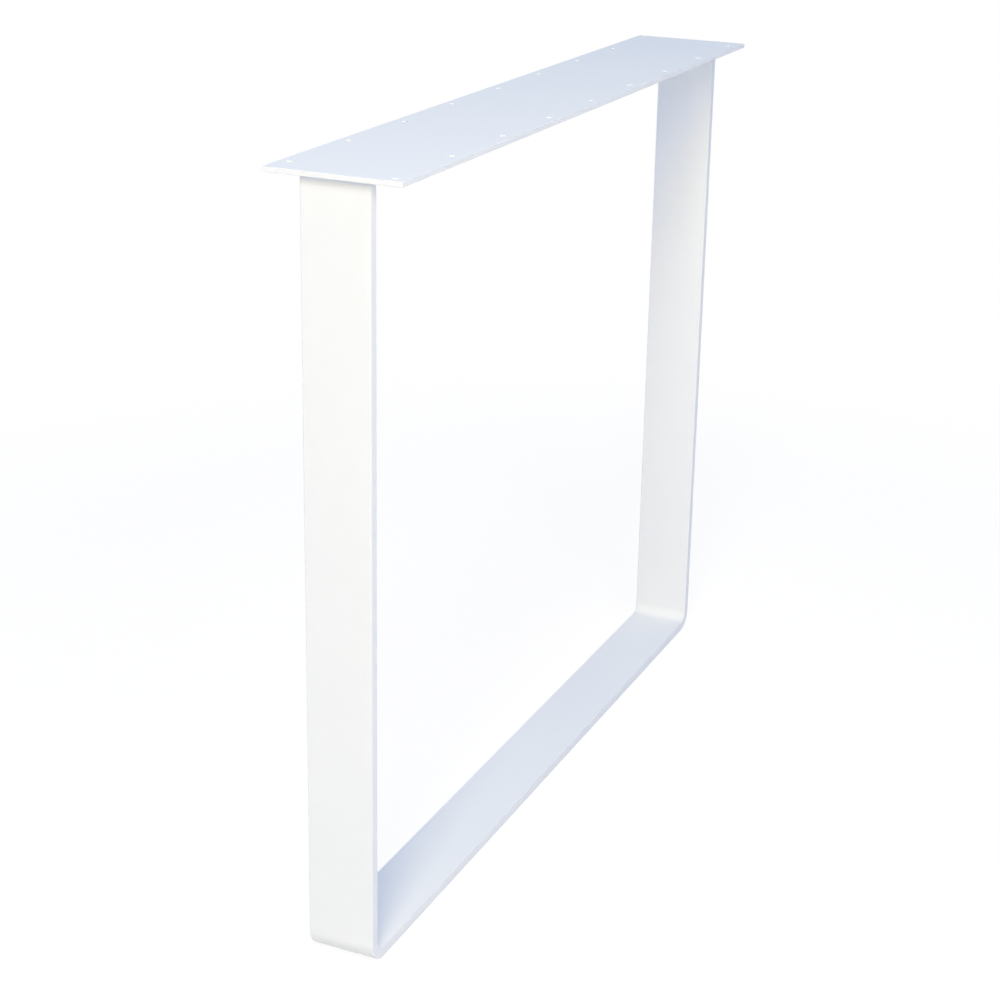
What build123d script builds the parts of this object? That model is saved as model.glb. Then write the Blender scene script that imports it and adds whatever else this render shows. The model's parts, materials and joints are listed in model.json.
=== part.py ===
"""U-shaped steel table leg: one bent flat bar welded under a drilled mounting plate.

Frame: +Z up, the floor at Z = 0, X across the flat bar, Y along the leg, with the
origin on the floor under the middle of the leg. Millimetres.
"""

import os

from build123d import *

# Overall sizes
leg_height = 711.0  # floor to the top face of the plate
frame_length = 823.0  # over the outer faces of the two uprights

# Flat bar
bar_width = 63.5
bar_thickness = 10.0
bar_edge_radius = 1.0  # soft corners of the rolled bar
bend_inner_radius = 11.0

# Mounting plate
plate_thickness = 4.5
plate_end_overhang = 6.0  # past each upright's outer face
plate_side_overhang = 30.75  # past each side of the bar
plate_edge_radius = 0.5

# Screw holes, two rows shifted along the leg against each other
hole_diameter = 6.5
hole_edge_break = 0.3
hole_pitch = 100.0
hole_row_inset = 10.0  # from the plate's long edge to the row
hole_end_margin = 8.0  # least distance from a plate end to a hole's centre
hole_row_stagger = 18.0

# Fillet welds in the corners between the uprights' inner faces and the plate
weld_leg = 5.0
weld_crown = 0.6  # how far the weld's face swells past the straight fillet
weld_end_inset = 3.0  # from each side of the bar to the weld's end

# Sizes that follow from those above
plate_length = frame_length + 2 * plate_end_overhang
plate_width = bar_width + 2 * plate_side_overhang
plate_underside = leg_height - plate_thickness
upright_inner_face = frame_length / 2 - bar_thickness


def bent_bar():
    """Flat bar carried along its middle line: down one upright, along the floor, up the other."""
    middle = bar_thickness / 2
    upright_y = frame_length / 2 - middle
    with BuildPart() as bar:
        with BuildLine(Plane.YZ) as middle_line:
            FilletPolyline(
                (-upright_y, plate_underside),
                (-upright_y, middle),
                (upright_y, middle),
                (upright_y, plate_underside),
                radius=bend_inner_radius + middle,
            )
        with BuildSketch(Plane((0, -upright_y, plate_underside), x_dir=(1, 0, 0), z_dir=(0, 0, -1))):
            RectangleRounded(bar_width, bar_thickness, bar_edge_radius)
        sweep(path=middle_line.line)
    return bar.part


def hole_centres():
    """Both rows of screw holes: as many at the pitch as the plate has room for, one row moved each way."""
    room = plate_length - 2 * hole_end_margin - hole_row_stagger
    holes_in_row = int(room // hole_pitch) + 1
    row_x = plate_width / 2 - hole_row_inset
    first_y = -hole_pitch * (holes_in_row - 1) / 2
    return [
        (side * row_x, first_y + index * hole_pitch - side * hole_row_stagger / 2)
        for side in (-1, 1)
        for index in range(holes_in_row)
    ]


def mounting_plate():
    """Flat plate with its outer edges rounded over and each hole's rims broken."""
    with BuildPart() as plate:
        with BuildSketch(Plane.XY.offset(plate_underside)):
            Rectangle(plate_width, plate_length)
        extrude(amount=plate_thickness)
        rims = plate.faces().sort_by(Axis.Z)
        fillet(rims[0].edges() + rims[-1].edges(), plate_edge_radius)
        with BuildSketch(Plane.XY.offset(plate_underside)):
            with Locations(*hole_centres()):
                Circle(hole_diameter / 2)
        extrude(amount=plate_thickness, mode=Mode.SUBTRACT)
        chamfer(plate.edges(Select.LAST).filter_by(GeomType.CIRCLE), hole_edge_break)
    return plate.part


def weld_bead():
    """Fillet weld on the inner face of the upright at the -Y end, with a swollen face."""
    corner = (-upright_inner_face, plate_underside)
    on_plate = (-upright_inner_face + weld_leg, plate_underside)
    on_upright = (-upright_inner_face, plate_underside - weld_leg)
    with BuildPart() as bead:
        with BuildSketch(Plane.YZ):
            with BuildLine():
                Polyline(on_upright, corner, on_plate)
                SagittaArc(on_plate, on_upright, weld_crown)
            make_face()
        extrude(amount=bar_width / 2 - weld_end_inset, both=True)
    return bead.part


near_bead = weld_bead()
far_bead = mirror(near_bead, about=Plane.XZ)

nodes = {
    "u_frame": bent_bar(),
    "mounting_plate": mounting_plate(),
    "weld_beads": Compound(children=[*near_bead.solids(), *far_bead.solids()]),
}

os.makedirs("parts", exist_ok=True)
for name, shape in nodes.items():
    export_step(shape, f"parts/{name}.step")
    print(f"{name}: {len(shape.solids())} solids, {shape.volume / 1000:.1f} cm3, box {shape.bounding_box().size}")
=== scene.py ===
import json
import math
import bpy
import numpy as np
from mathutils import Matrix, Vector


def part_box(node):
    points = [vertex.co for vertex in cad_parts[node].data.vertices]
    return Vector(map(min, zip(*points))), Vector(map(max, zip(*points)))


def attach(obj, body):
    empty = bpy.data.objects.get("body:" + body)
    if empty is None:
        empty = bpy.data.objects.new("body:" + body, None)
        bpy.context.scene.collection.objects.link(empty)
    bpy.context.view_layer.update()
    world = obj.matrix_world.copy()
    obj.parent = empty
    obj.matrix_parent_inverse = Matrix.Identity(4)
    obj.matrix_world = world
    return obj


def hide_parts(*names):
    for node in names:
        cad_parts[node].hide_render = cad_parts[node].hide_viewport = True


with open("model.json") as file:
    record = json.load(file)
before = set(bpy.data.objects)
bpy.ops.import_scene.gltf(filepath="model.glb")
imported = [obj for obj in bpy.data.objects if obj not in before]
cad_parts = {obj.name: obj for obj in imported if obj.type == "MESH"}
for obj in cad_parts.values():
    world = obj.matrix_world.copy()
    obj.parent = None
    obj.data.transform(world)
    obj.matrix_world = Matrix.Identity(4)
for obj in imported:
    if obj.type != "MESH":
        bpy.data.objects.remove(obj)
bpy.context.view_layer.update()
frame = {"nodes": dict(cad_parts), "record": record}  # metres, in the same frame as the solids
scene = bpy.context.scene
scene.view_settings.view_transform = "Standard"

barLow, barHigh = (np.array(corner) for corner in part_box("u_frame"))
plateLow, plateHigh = (np.array(corner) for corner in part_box("mounting_plate"))
weldLow, weldHigh = (np.array(corner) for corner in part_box("weld_beads"))
barDepth = weldLow[1] - barLow[1]  # bar thickness: its outer face to the face that carries the weld
weldLeg = barHigh[2] - weldLow[2]  # weld's height on the upright
print(f"frame: {len(frame['nodes'])} solids, bar {barDepth * 1000:.1f} mm, weld {weldLeg * 1000:.1f} mm")


class Wire:
    # one output socket; sums on it add Math nodes
    def __init__(self, tree, socket=None):
        self.tree = tree
        self.socket = socket

    # any other node: its type, its settings, which are set first, and its sockets' values or links
    def node(self, kind, settings=None, sockets=None, out=0):
        made = self.tree.nodes.new(kind)
        for key, value in (settings or {}).items():
            setattr(made, key, value)
        for key, value in (sockets or {}).items():
            if isinstance(value, Wire):
                self.tree.links.new(value.socket, made.inputs[key])
            else:
                made.inputs[key].default_value = value
        return Wire(self.tree, made.outputs[out] if len(made.outputs) else None)

    def math(self, operation, first, second):
        return self.node("ShaderNodeMath", {"operation": operation}, {0: first, 1: second})

    def noise(self, place, scale, detail):
        return self.node("ShaderNodeTexNoise", {}, {"Vector": place, "Scale": scale, "Detail": detail})

    # two colours mixed: 6 and 7 are the node's colour inputs, and 2 is its colour output
    def mixColour(self, factor, first, second):
        sockets = {"Factor": factor, 6: first, 7: second}
        return self.node("ShaderNodeMix", {"data_type": "RGBA"}, sockets, out=2)

    def __add__(self, other):
        return self.math("ADD", self, other)

    def __radd__(self, other):
        return self.math("ADD", other, self)

    def __sub__(self, other):
        return self.math("SUBTRACT", self, other)

    def __rsub__(self, other):
        return self.math("SUBTRACT", other, self)

    def __mul__(self, other):
        return self.math("MULTIPLY", self, other)

    def __rmul__(self, other):
        return self.math("MULTIPLY", other, self)


# An empty node tree on a material or a world
def newTree(owner):
    owner.use_nodes = True
    owner.node_tree.nodes.clear()
    return Wire(owner.node_tree)


powderCoat = {
    "white": (0.885, 0.885, 0.875, 1.0),
    "cloud": (0.868, 0.870, 0.866, 1.0),  # a shade greyer, where the coat went on thinner
    "edgeTone": (0.835, 0.838, 0.838, 1.0),  # the coat draws back a little from sharp edges
    "cloudScale": 9.0,  # drifts of about 110 mm
    "cloudDetail": 3.0,
    "peelScale": 420.0,  # orange peel of about 2.4 mm
    "peelDetail": 1.0,
    "grainScale": 1900.0,  # fine powder grain of about 0.5 mm
    "grainDetail": 2.0,
    "roughness": 0.64,
    "driftSpread": 0.07,  # change of roughness with the drifts
    "grainSpread": 0.035,  # and with the grain
    "specular": 0.2,  # a satin coat, so less glare than bare gloss paint
    "edgeGloss": 0.06,  # how much smoother the coat is on a rounded edge
    "peelHeight": 0.0001,
    "grainShare": 0.25,  # height of the grain against the orange peel's
    "bumpStrength": 0.7,
    "peelOnPlate": 0.9,  # against the bar's
    "peelOnWelds": 1.6,
}


# Powder coat: colour = white drifting to cloud with broad noise, then to the edge tone on rounded edges;
# roughness = a level plus broad and fine noise less the edge gloss;
# height = orange peel plus a little grain
def makeCoat(name, use, peelGain=1.0):
    coat = bpy.data.materials.new(name)
    tree = newTree(coat)
    place = tree.node("ShaderNodeTexCoord", out="Object")
    drift = tree.noise(place, use["cloudScale"], use["cloudDetail"])
    peel = tree.noise(place, use["peelScale"], use["peelDetail"])
    grain = tree.noise(place, use["grainScale"], use["grainDetail"])
    edge = tree.node("ShaderNodeAttribute", {"attribute_name": "edgeMark"}, out="Fac")
    body = tree.mixColour(drift, use["white"], use["cloud"])
    colour = tree.mixColour(edge, body, use["edgeTone"])
    byDrift, byGrain = use["driftSpread"], use["grainSpread"]
    level = use["roughness"] - (byDrift + byGrain) / 2  # as either noise is about a half on average
    rough = level + byDrift * drift + byGrain * grain - use["edgeGloss"] * edge
    height = peel + use["grainShare"] * grain
    bump = tree.node("ShaderNodeBump", {}, {
        "Strength": use["bumpStrength"],
        "Distance": use["peelHeight"] * peelGain,
        "Height": height,
    })
    shader = tree.node("ShaderNodeBsdfPrincipled", {}, {
        "Base Color": colour,
        "Roughness": rough,
        "Specular IOR Level": use["specular"],
        "Normal": bump,
    })
    tree.node("ShaderNodeOutputMaterial", {}, {"Surface": shader})
    return coat


barCoat = makeCoat("barPowderCoat", powderCoat)
plateCoat = makeCoat("platePowderCoat", powderCoat, powderCoat["peelOnPlate"])
weldCoat = makeCoat("weldPowderCoat", powderCoat, powderCoat["peelOnWelds"])
print("materials: powder coat for bar, plate and welds")


# One piece of the leg: its mesh, a mark on its rounded edges, its coat, and the solid that it stands for
def makePiece(name, node, points, faces, coat, edgeMark, normals=None):
    mesh = bpy.data.meshes.new(name)
    mesh.from_pydata(points, [], faces)
    mesh.attributes.new("edgeMark", "FLOAT", "POINT").data.foreach_set("value", edgeMark)
    mesh.shade_smooth()
    if normals is not None:
        mesh.normals_split_custom_set_from_vertices(normals)
    mesh.materials.append(coat)
    piece = bpy.data.objects.new(name, mesh)
    scene.collection.objects.link(piece)
    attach(piece, "root")
    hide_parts(node)
    print(f"{name}: {len(mesh.vertices)} points, {len(mesh.polygons)} faces")


# Quads between neighbouring rows of a grid of points, each row a closed ring
def ringQuads(rows, ring):
    here = np.arange(rows - 1)[:, None] * ring + np.arange(ring)
    after = np.arange(rows - 1)[:, None] * ring + (np.arange(ring) + 1) % ring
    return np.stack([here, after, after + ring, here + ring], -1).reshape(-1, 4)


# The two faces that close such a grid: its first ring, and its last one the other way round
def ringEnds(rows, ring):
    count = rows * ring
    return [list(range(ring)), list(range(count - 1, count - ring - 1, -1))]


bentBar = {
    "edgeRadius": 0.001,  # soft long edges of rolled flat bar
    "edgeSteps": 6,
    "bendRadius": 0.011,  # inside of both bends
    "bendSteps": 32,
}


# Rounded rectangle: four quarter circles set in from the corners by their radius, as the angle runs once
# round, with the way that each point faces and a mark that is 1 half-way round a corner
def barSection(width, depth, radius, steps):
    angle = np.arange(4)[:, None] * np.pi / 2 + np.linspace(0, np.pi / 2, steps + 1)
    facing = np.stack([np.cos(angle), np.sin(angle)], -1)
    corner = np.array([[1, 1], [-1, 1], [-1, -1], [1, -1]]) * (np.array([width, depth]) / 2 - radius)
    outline = corner[:, None] + radius * facing
    edge = np.abs(np.sin(2 * angle))
    return outline.reshape(-1, 2), facing.reshape(-1, 2), edge.ravel()


# Middle line of the bar in Y and Z: down the near upright, a quarter turn, along the floor,
# a quarter turn and up the far upright, with the direction that points into the frame at each station
def barMiddle(halfLength, top, middle, radius, steps):
    turn = np.linspace(0, np.pi / 2, steps + 1)
    nearIn = np.stack([np.cos(turn), np.sin(turn)], -1)
    farIn = np.stack([-np.sin(turn), np.cos(turn)], -1)
    nearCentre = np.array([-halfLength + middle + radius, middle + radius])
    farCentre = nearCentre * [-1, 1]
    places = [[[-halfLength + middle, top]], nearCentre - radius * nearIn]
    places += [farCentre - radius * farIn, [[halfLength - middle, top]]]
    inward = [[[1, 0]], nearIn, farIn, [[-1, 0]]]
    return np.concatenate(places), np.concatenate(inward)


# Bar: the rounded section carried along the middle line, its width in X and its depth along the inward way
def makeBar(use):
    width = barHigh[0] - barLow[0]
    section, facing, edge = barSection(width, barDepth, use["edgeRadius"], use["edgeSteps"])
    middle = barDepth / 2
    path, inward = barMiddle(barHigh[1], barHigh[2], middle, use["bendRadius"] + middle, use["bendSteps"])
    rows, ring = len(path), len(section)
    across = np.broadcast_to(section[:, 0], (rows, ring))
    within = path[:, None] + section[:, 1, None] * inward[:, None]
    points = np.concatenate([across[..., None], within], -1).reshape(-1, 3)
    acrossFacing = np.broadcast_to(facing[:, 0], (rows, ring))
    withinFacing = facing[:, 1, None] * inward[:, None]
    normals = np.concatenate([acrossFacing[..., None], withinFacing], -1).reshape(-1, 3)
    faces = ringQuads(rows, ring)[:, ::-1].tolist() + ringEnds(rows, ring)
    makePiece("uFrame", "u_frame", points, faces, barCoat, np.tile(edge, rows), normals)


makeBar(bentBar)

drilledPlate = {
    "edgeRadius": 0.0005,
    "rimRadius": 0.0003,  # broken rims of the screw holes
    "edgeSteps": 4,
    "cornerTurn": 0.0006,  # how near a corner of the plate a long side's shading gives way to the end's
    "patch": 0.007,  # half side of the square of mesh round each hole
    "patchSteps": 8,
    "holeSteps": 6,  # patch steps from a hole's middle to its rim
    "slack": 1e-6,  # rounding allowed for, as a share of a patch
}
rowMounts = [mount for mount in frame["record"]["mounts"] if "_row_" in mount["name"]]
rowSpacing = sorted({mount["dims"]["spacing_y_mm"] / 1000 for mount in rowMounts})
holeRadius = rowMounts[0]["dims"]["hole_r_mm"] / 1000
holePitch = rowSpacing[0] / 2
holesEachSide = len(rowSpacing)
rowX = abs(rowMounts[0]["pos_m"][0])
rowShift = rowMounts[0]["pos_m"][1] * np.sign(rowMounts[0]["pos_m"][0])  # the other row's is the opposite


# Plate: a grid of lines over the flat face, bunched round each hole; inside a hole's square the rings of
# the grid pass from that square to the hole's circle, and what lies within is left out. The open edges,
# round the outside and in the holes, are carried down through a quarter circle, a straight wall and
# another quarter circle
def makePlate(use):
    patch, steps, slack = use["patch"], use["patchSteps"], use["slack"]
    inner = use["holeSteps"] / steps
    flat = plateHigh[:2] - use["edgeRadius"]
    spread = patch * np.linspace(-1, 1, 2 * steps + 1)
    along = holePitch * np.arange(-holesEachSide, holesEachSide + 1)
    holeY = (along[:, None] + rowShift * np.array([-1, 1])).ravel()
    borders = np.array([-1, 1])[:, None] * np.stack([flat, flat - use["cornerTurn"]])[:, None]
    lineX = np.sort(np.concatenate([borders[..., 0].ravel(), -rowX + spread, rowX + spread]))
    lineY = np.sort(np.concatenate([borders[..., 1].ravel(), (holeY[:, None] + spread).ravel()]))
    gridX, gridY = np.meshgrid(lineX, lineY, indexing="ij")

    side = np.sign(gridX)  # nearest hole of every grid point
    shift = rowShift * side
    number = np.clip(np.round((gridY - shift) / holePitch), -holesEachSide, holesEachSide)
    hole = np.stack([side * rowX, number * holePitch + shift], -1)
    local = (np.stack([gridX, gridY], -1) - hole) / patch
    reach = np.abs(local).max(-1)
    square = local / np.maximum(reach, slack)[..., None]
    wide = np.abs(square[..., 0]) >= np.abs(square[..., 1])
    lean = np.pi / 4 * np.where(wide, square[..., 1], square[..., 0])
    circleX = np.where(wide, square[..., 0] * np.cos(lean), np.sin(lean))
    circleY = np.where(wide, np.sin(lean), square[..., 1] * np.cos(lean))
    circle = np.stack([circleX, circleY], -1)
    blend = np.clip((1 - reach) / (1 - inner), 0, 1)[..., None]
    rim = holeRadius + use["rimRadius"]
    warped = hole + blend * rim * circle + (1 - blend) * patch * square
    flatXY = np.where((reach < 1 + slack)[..., None], warped, np.stack([gridX, gridY], -1)).reshape(-1, 2)

    count = gridX.size
    index = np.arange(count).reshape(gridX.shape)
    cells = np.stack([index[:-1, :-1], index[1:, :-1], index[1:, 1:], index[:-1, 1:]], -1).reshape(-1, 4)
    cells = cells[reach.ravel()[cells].max(-1) > inner + slack]
    ways = np.stack([cells, np.roll(cells, -1, 1)], -1).reshape(-1, 2)
    forth = ways[:, 0] * count + ways[:, 1]
    openWays = ways[~np.isin(forth, ways[:, 1] * count + ways[:, 0])]  # edges that only one cell has
    rimPoints, openEnds = np.unique(openWays, return_inverse=True)
    openEnds = openEnds.reshape(-1, 2)
    inHole = (reach.ravel() < 1)[rimPoints]
    outward = np.where(np.abs(flatXY[rimPoints]) > flat - slack * patch, np.sign(flatXY[rimPoints]), 0.0)
    outward = np.where(inHole[:, None], -circle.reshape(-1, 2)[rimPoints], outward)
    radius = np.where(inHole, use["rimRadius"], use["edgeRadius"])

    turn = np.linspace(0, np.pi / 2, use["edgeSteps"] + 1)[1:]
    bend = np.concatenate([turn, turn[::-1]])[:, None]  # over the top edge, then the bottom one
    upper = np.repeat([1.0, -1.0], len(turn))[:, None]
    wallXY = flatXY[rimPoints] + (radius * np.sin(bend))[..., None] * outward
    wallZ = np.where(upper > 0, plateHigh[2], plateLow[2]) - upper * radius * (1 - np.cos(bend))
    wall = np.concatenate([wallXY, wallZ[..., None]], -1)
    corner = ~inHole & np.all(outward != 0, -1)  # the plate's corners shade as part of its short ends
    unit = np.where(corner[:, None], outward * [0, 1], outward)
    unit = unit / np.linalg.norm(unit, axis=-1, keepdims=True)
    rise = np.broadcast_to(upper * np.cos(bend), wallZ.shape)
    wallFacing = np.concatenate([np.sin(bend)[..., None] * unit, rise[..., None]], -1)

    rows, ring = wallZ.shape
    level = np.ones((count, 1))
    points = np.concatenate([
        np.hstack([flatXY, level * plateHigh[2]]),
        np.hstack([flatXY, level * plateLow[2]]),
        wall.reshape(-1, 3),
    ])
    normals = np.concatenate([
        np.hstack([flatXY * 0, level]),
        np.hstack([flatXY * 0, -level]),
        wallFacing.reshape(-1, 3),
    ])
    edge = np.concatenate([np.zeros(2 * count), np.broadcast_to(np.sin(2 * bend), (rows, ring)).ravel()])
    wallIndex = np.arange(rows * ring).reshape(rows, ring) + 2 * count
    strips = np.concatenate([rimPoints[None], wallIndex, rimPoints[None] + count])
    start, stop = strips[:, openEnds[:, 0]], strips[:, openEnds[:, 1]]
    sides = np.stack([stop[:-1], start[:-1], start[1:], stop[1:]], -1).reshape(-1, 4)
    faces = np.concatenate([cells, cells[:, ::-1] + count, sides])
    used, faces = np.unique(faces, return_inverse=True)  # grid points inside the holes drop out
    faces = faces.reshape(-1, 4).tolist()
    makePiece("mountingPlate", "mounting_plate", points[used], faces, plateCoat, edge[used], normals[used])


makePlate(drilledPlate)

filletWeld = {
    "crown": 0.0005,  # swell of the face past the straight fillet
    "ripple": 0.00022,  # height of the ripples under the coat
    "ripplePitch": 0.0024,
    "rippleBow": 0.7,  # how far a ripple trails at the toes, in pitches
    "rippleStray": 0.2,  # how far the ripples stray from even spacing, in pitches
    "strayWave": 190.0,  # radians a metre, so about 33 mm from stray to stray
    "unevenness": 0.05,  # slow change of the weld's size
    "unevenWave": 310.0,  # radians a metre, so about 20 mm from swell to swell
    "unevenStart": 0.7,
    "endRun": 0.005,  # length over which the ends die away
    "endReach": 0.999,  # how much of that an end goes, so that it doesn't shrink to a point
    "root": 0.0002,  # depth of the toes in the bar and the plate
    "lengthSteps": 420,
    "faceSteps": 16,
}


# Weld: across goes from the toe on the plate to the toe on the upright, and run from side to side of the bar.
# The face is the straight fillet, plus a swell that is fullest in the middle, plus ripples that bow along
# the run, all times a size that changes slowly and dies away at the ends as a quarter ellipse does
def makeWelds(use):
    half = weldHigh[0]
    run = half * np.sin(np.linspace(-np.pi / 2, np.pi / 2, use["lengthSteps"] + 1))[:, None]
    across = np.linspace(0, 1, use["faceSteps"] + 1)[None]
    nearEnd = np.clip((np.abs(run) - half + use["endRun"]) / use["endRun"], 0, use["endReach"])
    thinner = use["unevenness"] * (0.5 + 0.5 * np.sin(use["unevenWave"] * run + use["unevenStart"]))
    size = np.sqrt(1 - nearEnd ** 2) * (1 - thinner)
    middle = 4 * across * (1 - across)
    stray = use["rippleStray"] * np.sin(use["strayWave"] * run)
    phase = run / use["ripplePitch"] - use["rippleBow"] * (2 * across - 1) ** 2 + stray
    ripple = use["ripple"] * np.abs(np.sin(np.pi * phase)) * np.sqrt(middle)
    swell = (use["crown"] * middle + ripple - use["ripple"]) * math.sqrt(0.5)
    fromUpright = size * (weldLeg * (1 - across) + swell)
    fromPlate = size * (weldLeg * across + swell)
    corner = np.full_like(run, -use["root"])  # the hidden back of the weld
    fromUpright = np.concatenate([fromUpright, corner], 1)
    fromPlate = np.concatenate([fromPlate, corner], 1)
    rows, ring = fromPlate.shape
    runs = np.broadcast_to(run, (rows, ring))
    faceY = weldLow[1] + fromUpright
    faceZ = barHigh[2] - fromPlate
    near = np.stack([runs, faceY, faceZ], -1).reshape(-1, 3)
    quads = ringQuads(rows, ring)[:, ::-1]
    ends = ringEnds(rows, ring)
    count = len(near)
    nearFaces = quads.tolist() + ends
    farFaces = (quads[:, ::-1] + count).tolist() + [[count + index for index in end[::-1]] for end in ends]
    points = np.concatenate([near, near * [1, -1, 1]])  # the far weld mirrors the near one
    makePiece("weldBeads", "weld_beads", points, nearFaces + farFaces, weldCoat, np.zeros(2 * count))


makeWelds(filletWeld)

plainWhite = (1.0, 1.0, 1.0, 1.0)


# 1 for rays from the camera, off gloss or through glass, 0 for light that bounces about
def seenWhite(tree):
    camera = tree.node("ShaderNodeLightPath", out="Is Camera Ray")
    glossy = tree.node("ShaderNodeLightPath", out="Is Glossy Ray")
    through = tree.node("ShaderNodeLightPath", out="Is Transmission Ray")
    return tree.math("MAXIMUM", tree.math("MAXIMUM", camera, glossy), through)


floorSheet = {
    "half": 30.0,  # from the middle to each side
    "drop": 0.0004,  # just under the bar, so the two don't share a plane
    "paint": 0.86,  # share of the light that the floor gives back
    "shade": 0.2,  # how much of the real shadow shows on the white floor
    "lit": (0.66, 0.70, 0.76),  # what the painted floor gives back in the open
    "shadeStart": 0.8,  # distance from the middle at which the shadow starts to fade
    "shadeReach": 1.6,  # and at which the floor is plain white
    "contact": 0.004,  # rays shorter than this pass, so that the bar's underside gets some light
}


# Floor: pale paint for the light that it gives back. Seen directly or mirrored it is plain white far off, and
# near the leg it is a share of the painted floor, shadow and all, plus the glow that brings its open part up
# to white. It is clear from below, and to the short rays between it and the bar's underside
def makeFloor(use):
    half = use["half"]
    mesh = bpy.data.meshes.new("floor")
    corners = np.array([[-1, -1, 0], [1, -1, 0], [1, 1, 0], [-1, 1, 0]]) * half - [0, 0, use["drop"]]
    mesh.from_pydata(corners, [], [(0, 1, 2, 3)])
    finish = bpy.data.materials.new("paleFloor")
    tree = newTree(finish)
    place = tree.node("ShaderNodeTexCoord", out="Object")
    away = tree.node("ShaderNodeVectorMath", {"operation": "LENGTH"}, {0: place}, out="Value")
    near = tree.node("ShaderNodeMapRange", {"interpolation_type": "SMOOTHSTEP"}, {
        "Value": away,
        "From Min": use["shadeStart"],
        "From Max": use["shadeReach"],
        "To Min": 1.0,
        "To Max": 0.0,
    })
    share = use["shade"]
    paint = tree.node("ShaderNodeBsdfDiffuse", {}, {"Color": (*[use["paint"]] * 3, 1.0)})
    partPaint = tree.node("ShaderNodeBsdfDiffuse", {}, {"Color": (*[share * use["paint"]] * 3, 1.0)})
    partGlow = tree.node("ShaderNodeEmission", {}, {
        "Color": (*[1 - share * level for level in use["lit"]], 1.0),
        "Strength": 1.0,
    })
    white = tree.node("ShaderNodeEmission", {}, {"Color": plainWhite, "Strength": 1.0})
    nearLook = tree.node("ShaderNodeAddShader", {}, {0: partPaint, 1: partGlow})
    seenLook = tree.node("ShaderNodeMixShader", {}, {0: near, 1: white, 2: nearLook})
    top = tree.node("ShaderNodeMixShader", {}, {0: seenWhite(tree), 1: paint, 2: seenLook})
    below = tree.node("ShaderNodeNewGeometry", out="Backfacing")
    travel = tree.node("ShaderNodeLightPath", out="Ray Length")
    passes = tree.math("MAXIMUM", below, tree.math("LESS_THAN", travel, use["contact"]))
    clear = tree.node("ShaderNodeBsdfTransparent")
    both = tree.node("ShaderNodeMixShader", {}, {0: passes, 1: top, 2: clear})
    tree.node("ShaderNodeOutputMaterial", {}, {"Surface": both})
    mesh.materials.append(finish)
    floor = bpy.data.objects.new("floor", mesh)
    scene.collection.objects.link(floor)


makeFloor(floorSheet)

roomLight = {
    "colour": (0.485, 0.655, 1.0, 1.0),
    "strength": 0.66,
}


# Room: cool light from all round, which shows as plain white where it is seen
def makeRoom(use):
    scene.world = bpy.data.worlds.new("studio")
    tree = newTree(scene.world)
    fill = tree.node("ShaderNodeBackground", {}, {"Color": use["colour"], "Strength": use["strength"]})
    white = tree.node("ShaderNodeBackground", {}, {"Color": plainWhite, "Strength": 1.0})
    both = tree.node("ShaderNodeMixShader", {}, {0: seenWhite(tree), 1: fill, 2: white})
    tree.node("ShaderNodeOutputWorld", {}, {"Surface": both})


makeRoom(roomLight)

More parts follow.
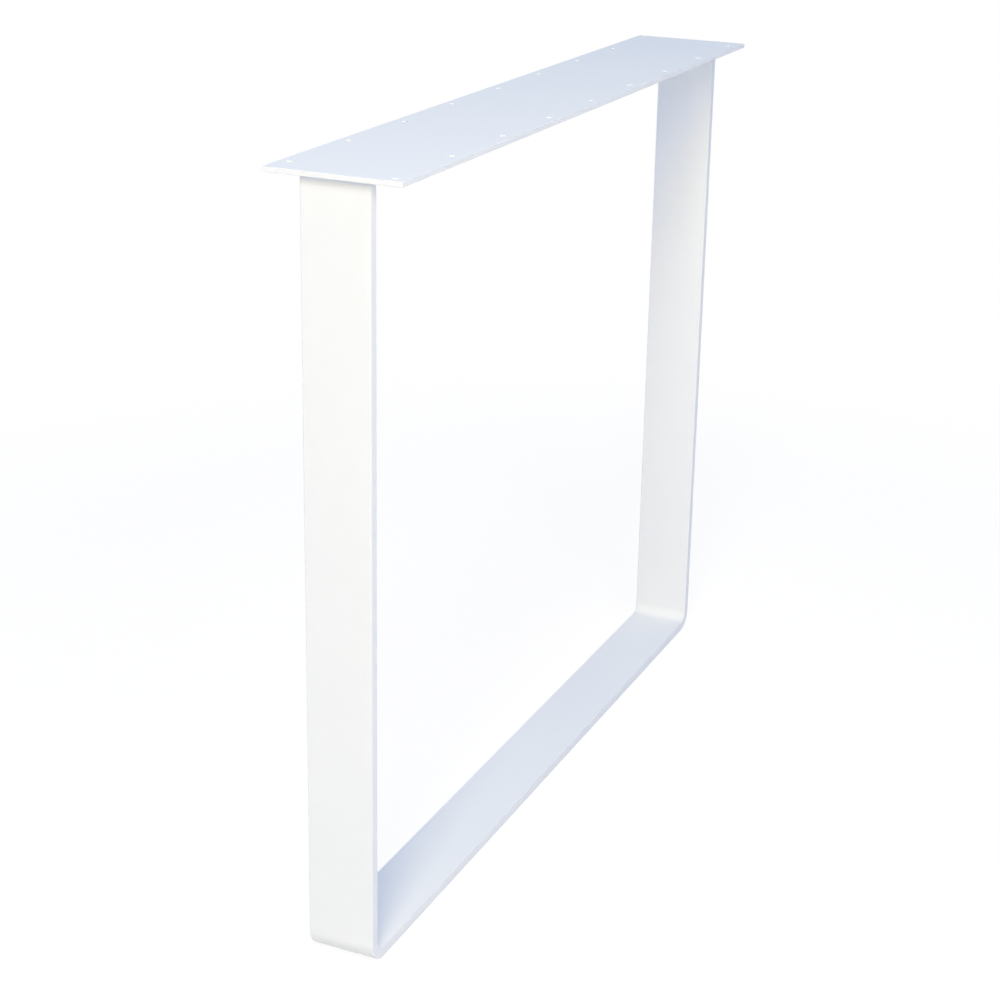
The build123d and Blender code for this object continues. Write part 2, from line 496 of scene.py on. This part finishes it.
lamps = {
    "frontKey": {  # warm, from well in front and above
        "place": (1.57, -5.04, 3.63),
        "aim": (0.0, -0.2, 0.45),
        "size": (1.8, 1.8),
        "watts": 110.0,
        "colour": (1.0, 0.735, 0.185),
    },
    "rightKey": {  # over the right shoulder of the camera
        "place": (2.06, -2.26, 2.57),
        "aim": (0.0, -0.2, 0.45),
        "size": (0.8, 0.8),
        "watts": 16.5,
        "colour": (1.0, 1.0, 0.99),
    },
    "topFill": {  # from high in front, on the plate and the floor bar
        "place": (0.61, -2.07, 2.97),
        "aim": (0.0, -0.2, 0.45),
        "size": (0.8, 0.8),
        "watts": 29.0,
        "colour": (0.98, 1.0, 0.97),
    },
    "rightFill": {  # soft, on the edges of the bar and the plate
        "place": (1.9, -1.1, 1.2),
        "aim": (0.0, -0.2, 0.4),
        "size": (1.2, 1.2),
        "watts": 8.4,
        "colour": (1.0, 0.80, 0.58),
    },
    "rearFill": {  # low, so that it stays off the top of the plate
        "place": (-1.8, 2.4, 0.2),
        "aim": (0.0, 0.1, 0.3),
        "size": (1.8, 0.34),
        "watts": 30.0,
        "colour": (1.0, 0.89, 0.68),
    },
}


# Lamp: a soft rectangle that faces its aim and isn't itself seen
def makeLamp(name, use):
    lamp = bpy.data.lights.new(name, "AREA")
    lamp.shape = "RECTANGLE"
    lamp.size, lamp.size_y = use["size"]
    lamp.energy = use["watts"]
    lamp.color = use["colour"]
    stand = bpy.data.objects.new(name, lamp)
    stand.location = use["place"]
    stand.rotation_euler = (Vector(use["aim"]) - Vector(use["place"])).to_track_quat("-Z", "Y").to_euler()
    stand.visible_camera = False
    scene.collection.objects.link(stand)


for lampName, lampUse in lamps.items():
    makeLamp(lampName, lampUse)
print(f"stage: floor, room light and {len(lamps)} lamps")

photoCamera = {
    "place": (0.7739, -1.8066, 1.0475),
    "aim": (0.0, -0.0884, 0.4099),
    "roll": 1.06,  # degrees, the photo leans a little
    "lens": 74.4,  # millimetres, as the sensor is
    "sensor": 36.0,
    "shiftY": -0.08,
    "farClip": 200.0,
}


# Camera: looks from its place to its aim with its right side level, then leans by the roll
def makeCamera(use):
    lens = bpy.data.cameras.new("photoCamera")
    lens.lens = use["lens"]
    lens.sensor_width = use["sensor"]
    lens.shift_y = use["shiftY"]
    lens.clip_end = use["farClip"]
    ahead = (Vector(use["aim"]) - Vector(use["place"])).normalized()
    level = ahead.cross(Vector((0, 0, 1))).normalized()
    upright = level.cross(ahead)
    roll = math.radians(use["roll"])
    right = level * math.cos(roll) + upright * math.sin(roll)
    up = right.cross(ahead)
    turned = Matrix((right, up, -ahead)).transposed().to_4x4()
    camera = bpy.data.objects.new("photoCamera", lens)
    camera.matrix_world = Matrix.Translation(use["place"]) @ turned
    scene.collection.objects.link(camera)
    scene.camera = camera


makeCamera(photoCamera)
print("camera: at the photo's place")

bpy.context.view_layer.update()
